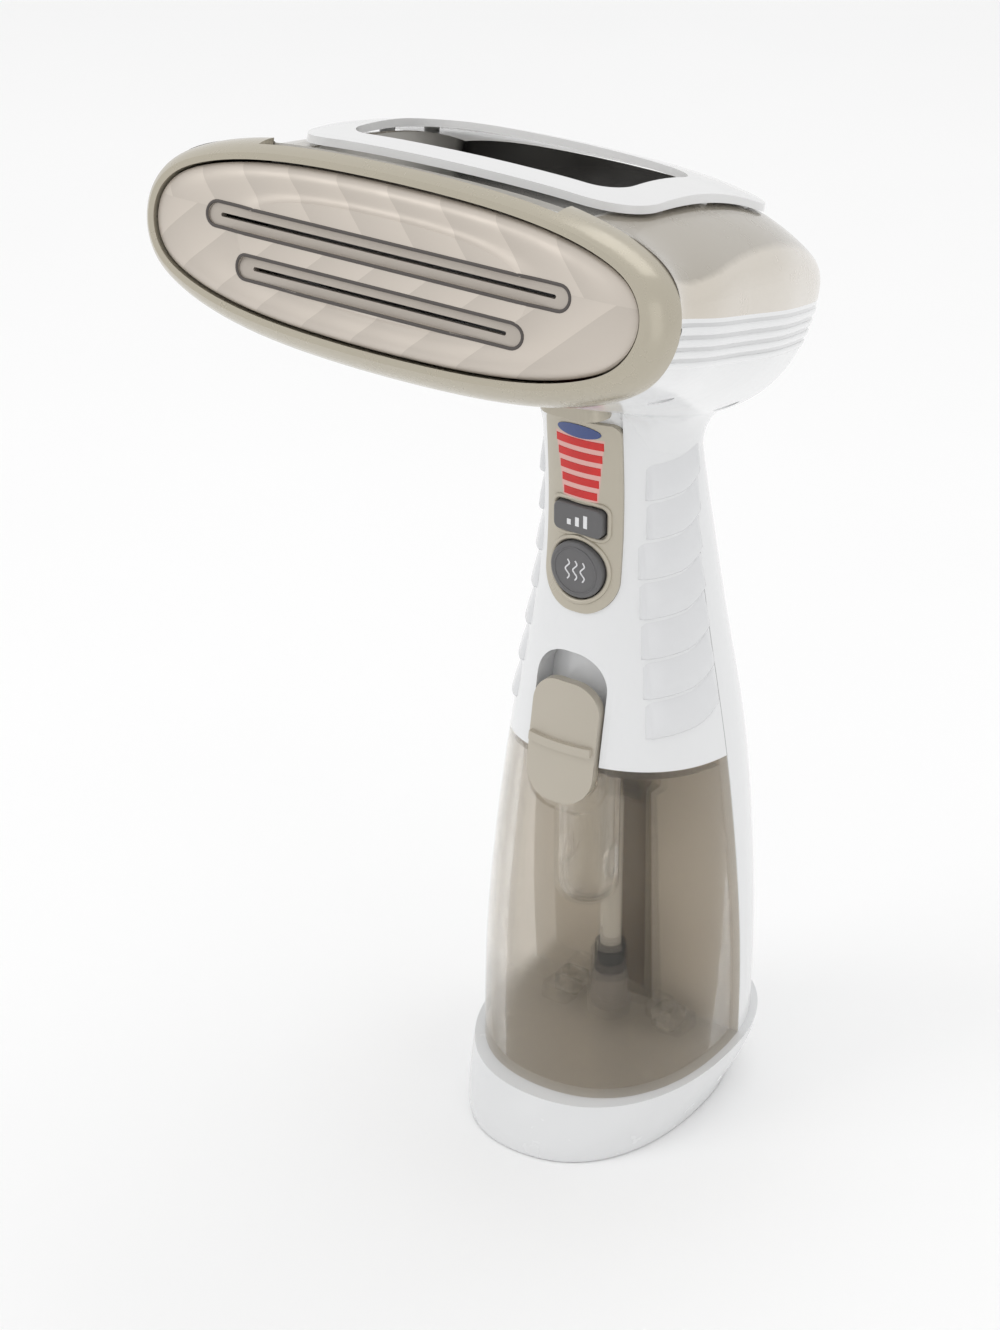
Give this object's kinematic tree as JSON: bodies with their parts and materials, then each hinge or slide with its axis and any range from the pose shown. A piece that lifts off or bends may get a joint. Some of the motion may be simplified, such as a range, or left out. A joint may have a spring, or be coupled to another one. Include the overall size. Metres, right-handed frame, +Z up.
{
  "type": "garment steamer",
  "caption": "Upright hand-held garment steamer: oval slotted steam plate on a tilted head, grip with keys and light bars, clear removable water tank and a flared foot.",
  "frame": {"origin": "on the flat underside of the foot, on the handle's vertical axis in the plane of symmetry", "axes": "+Z up along the handle, -Y the way the steam plate faces, +X across"},
  "size_m": [0.1526, 0.1557, 0.3067],
  "materials": {
    "plate_metal": "satin champagne anodised",
    "champagne_bezel": "pearl gloss",
    "champagne_shell": "pearl gloss",
    "champagne_trim": "pearl satin",
    "white_shell": "gloss",
    "dark_tray": "gloss",
    "key_grey": "fine matte",
    "lens_clear": "polished",
    "led_red": "glowing diffuser",
    "led_chip": "small chips",
    "smoked_clear": "polished, smoke tint",
    "clear_part": "polished",
    "black_plastic": "matte",
    "cast_metal": "as cast",
    "steel": "zinc plated",
    "copper_coil": "taped winding",
    "rubber_dark": "matte",
    "rubber_clear": "satin silicone",
    "circuit_green": "solder mask",
    "brass": "machined",
    "sinter_grey": "sintered"
  },
  "bodies": {
    "housing": {"steam_plate": "plate_metal", "plate_bezel": "champagne_bezel", "head_upper_shell": "champagne_shell", "head_lower_shell": "white_shell", "top_recess_liner": "dark_tray", "top_cover": "white_shell", "attachment_catch": "white_shell", "boiler_block": "cast_metal", "plate_gasket": "rubber_clear", "boiler_cover": "cast_metal", "heating_element": "steel", "boiler_screws": "steel", "thermostat": "steel", "thermal_fuse": "steel", "heat_shield": "steel", "head_screws": "steel", "handle_front_shell": "white_shell", "rear_housing": "white_shell", "handle_floor": "white_shell", "handle_screws": "steel", "control_panel": "champagne_trim", "ready_lens": "lens_clear", "led_bars": "led_red", "circuit_board": "circuit_green", "tact_switches": "black_plastic", "status_leds": "led_chip", "pump_body": "steel", "plunger_spring": "steel", "pump_coil": "copper_coil", "pump_bracket": "steel", "suction_hose": "rubber_clear", "pressure_hose": "rubber_clear", "outlet_socket": "rubber_dark", "base_foot": "white_shell", "foot_plate": "black_plastic", "foot_pad": "rubber_dark", "foot_screws": "steel", "cord_inlet": "black_plastic", "terminal_block": "black_plastic"},
    "tank": {"water_tank": "smoked_clear", "tank_lid": "smoked_clear", "nozzle_seal": "rubber_dark", "fill_plug": "rubber_dark", "filter_cup": "clear_part", "pickup_tube": "clear_part", "tube_sleeve": "rubber_dark", "pickup_weight": "sinter_grey", "tank_clips": "clear_part", "latch_spring": "steel"},
    "latch": {"tank_latch": "champagne_trim"},
    "steam_key": {"steam_button": "key_grey"},
    "setting_key": {"setting_button": "key_grey"},
    "plunger": {"pump_plunger": "steel"}
  },
  "joints": [
    {"name": "tank_slide", "type": "slide", "parent": "housing", "child": "tank", "axis": [0, -1, 0], "range_m": [0, 0.06]},
    {"name": "latch_slide", "type": "slide", "parent": "tank", "child": "latch", "axis": [0, 0, 1], "range_m": [0, 0.005], "stiffness_N_per_m": 400, "springref_m": -0.002, "deforming": ["latch_spring"]},
    {"name": "steam_press", "type": "slide", "parent": "housing", "child": "steam_key", "axis": [0, 1, 0], "range_m": [0, 0.001], "stiffness_N_per_m": 2000, "springref_m": -0.0005},
    {"name": "setting_press", "type": "slide", "parent": "housing", "child": "setting_key", "axis": [0, 1, 0], "range_m": [0, 0.0008], "stiffness_N_per_m": 2000, "springref_m": -0.0005},
    {"name": "plunger_stroke", "type": "slide", "parent": "housing", "child": "plunger", "axis": [0, 0, 1], "range_m": [0, 0.0025], "stiffness_N_per_m": 600, "springref_m": -0.002, "deforming": ["plunger_spring"]}
  ]
}
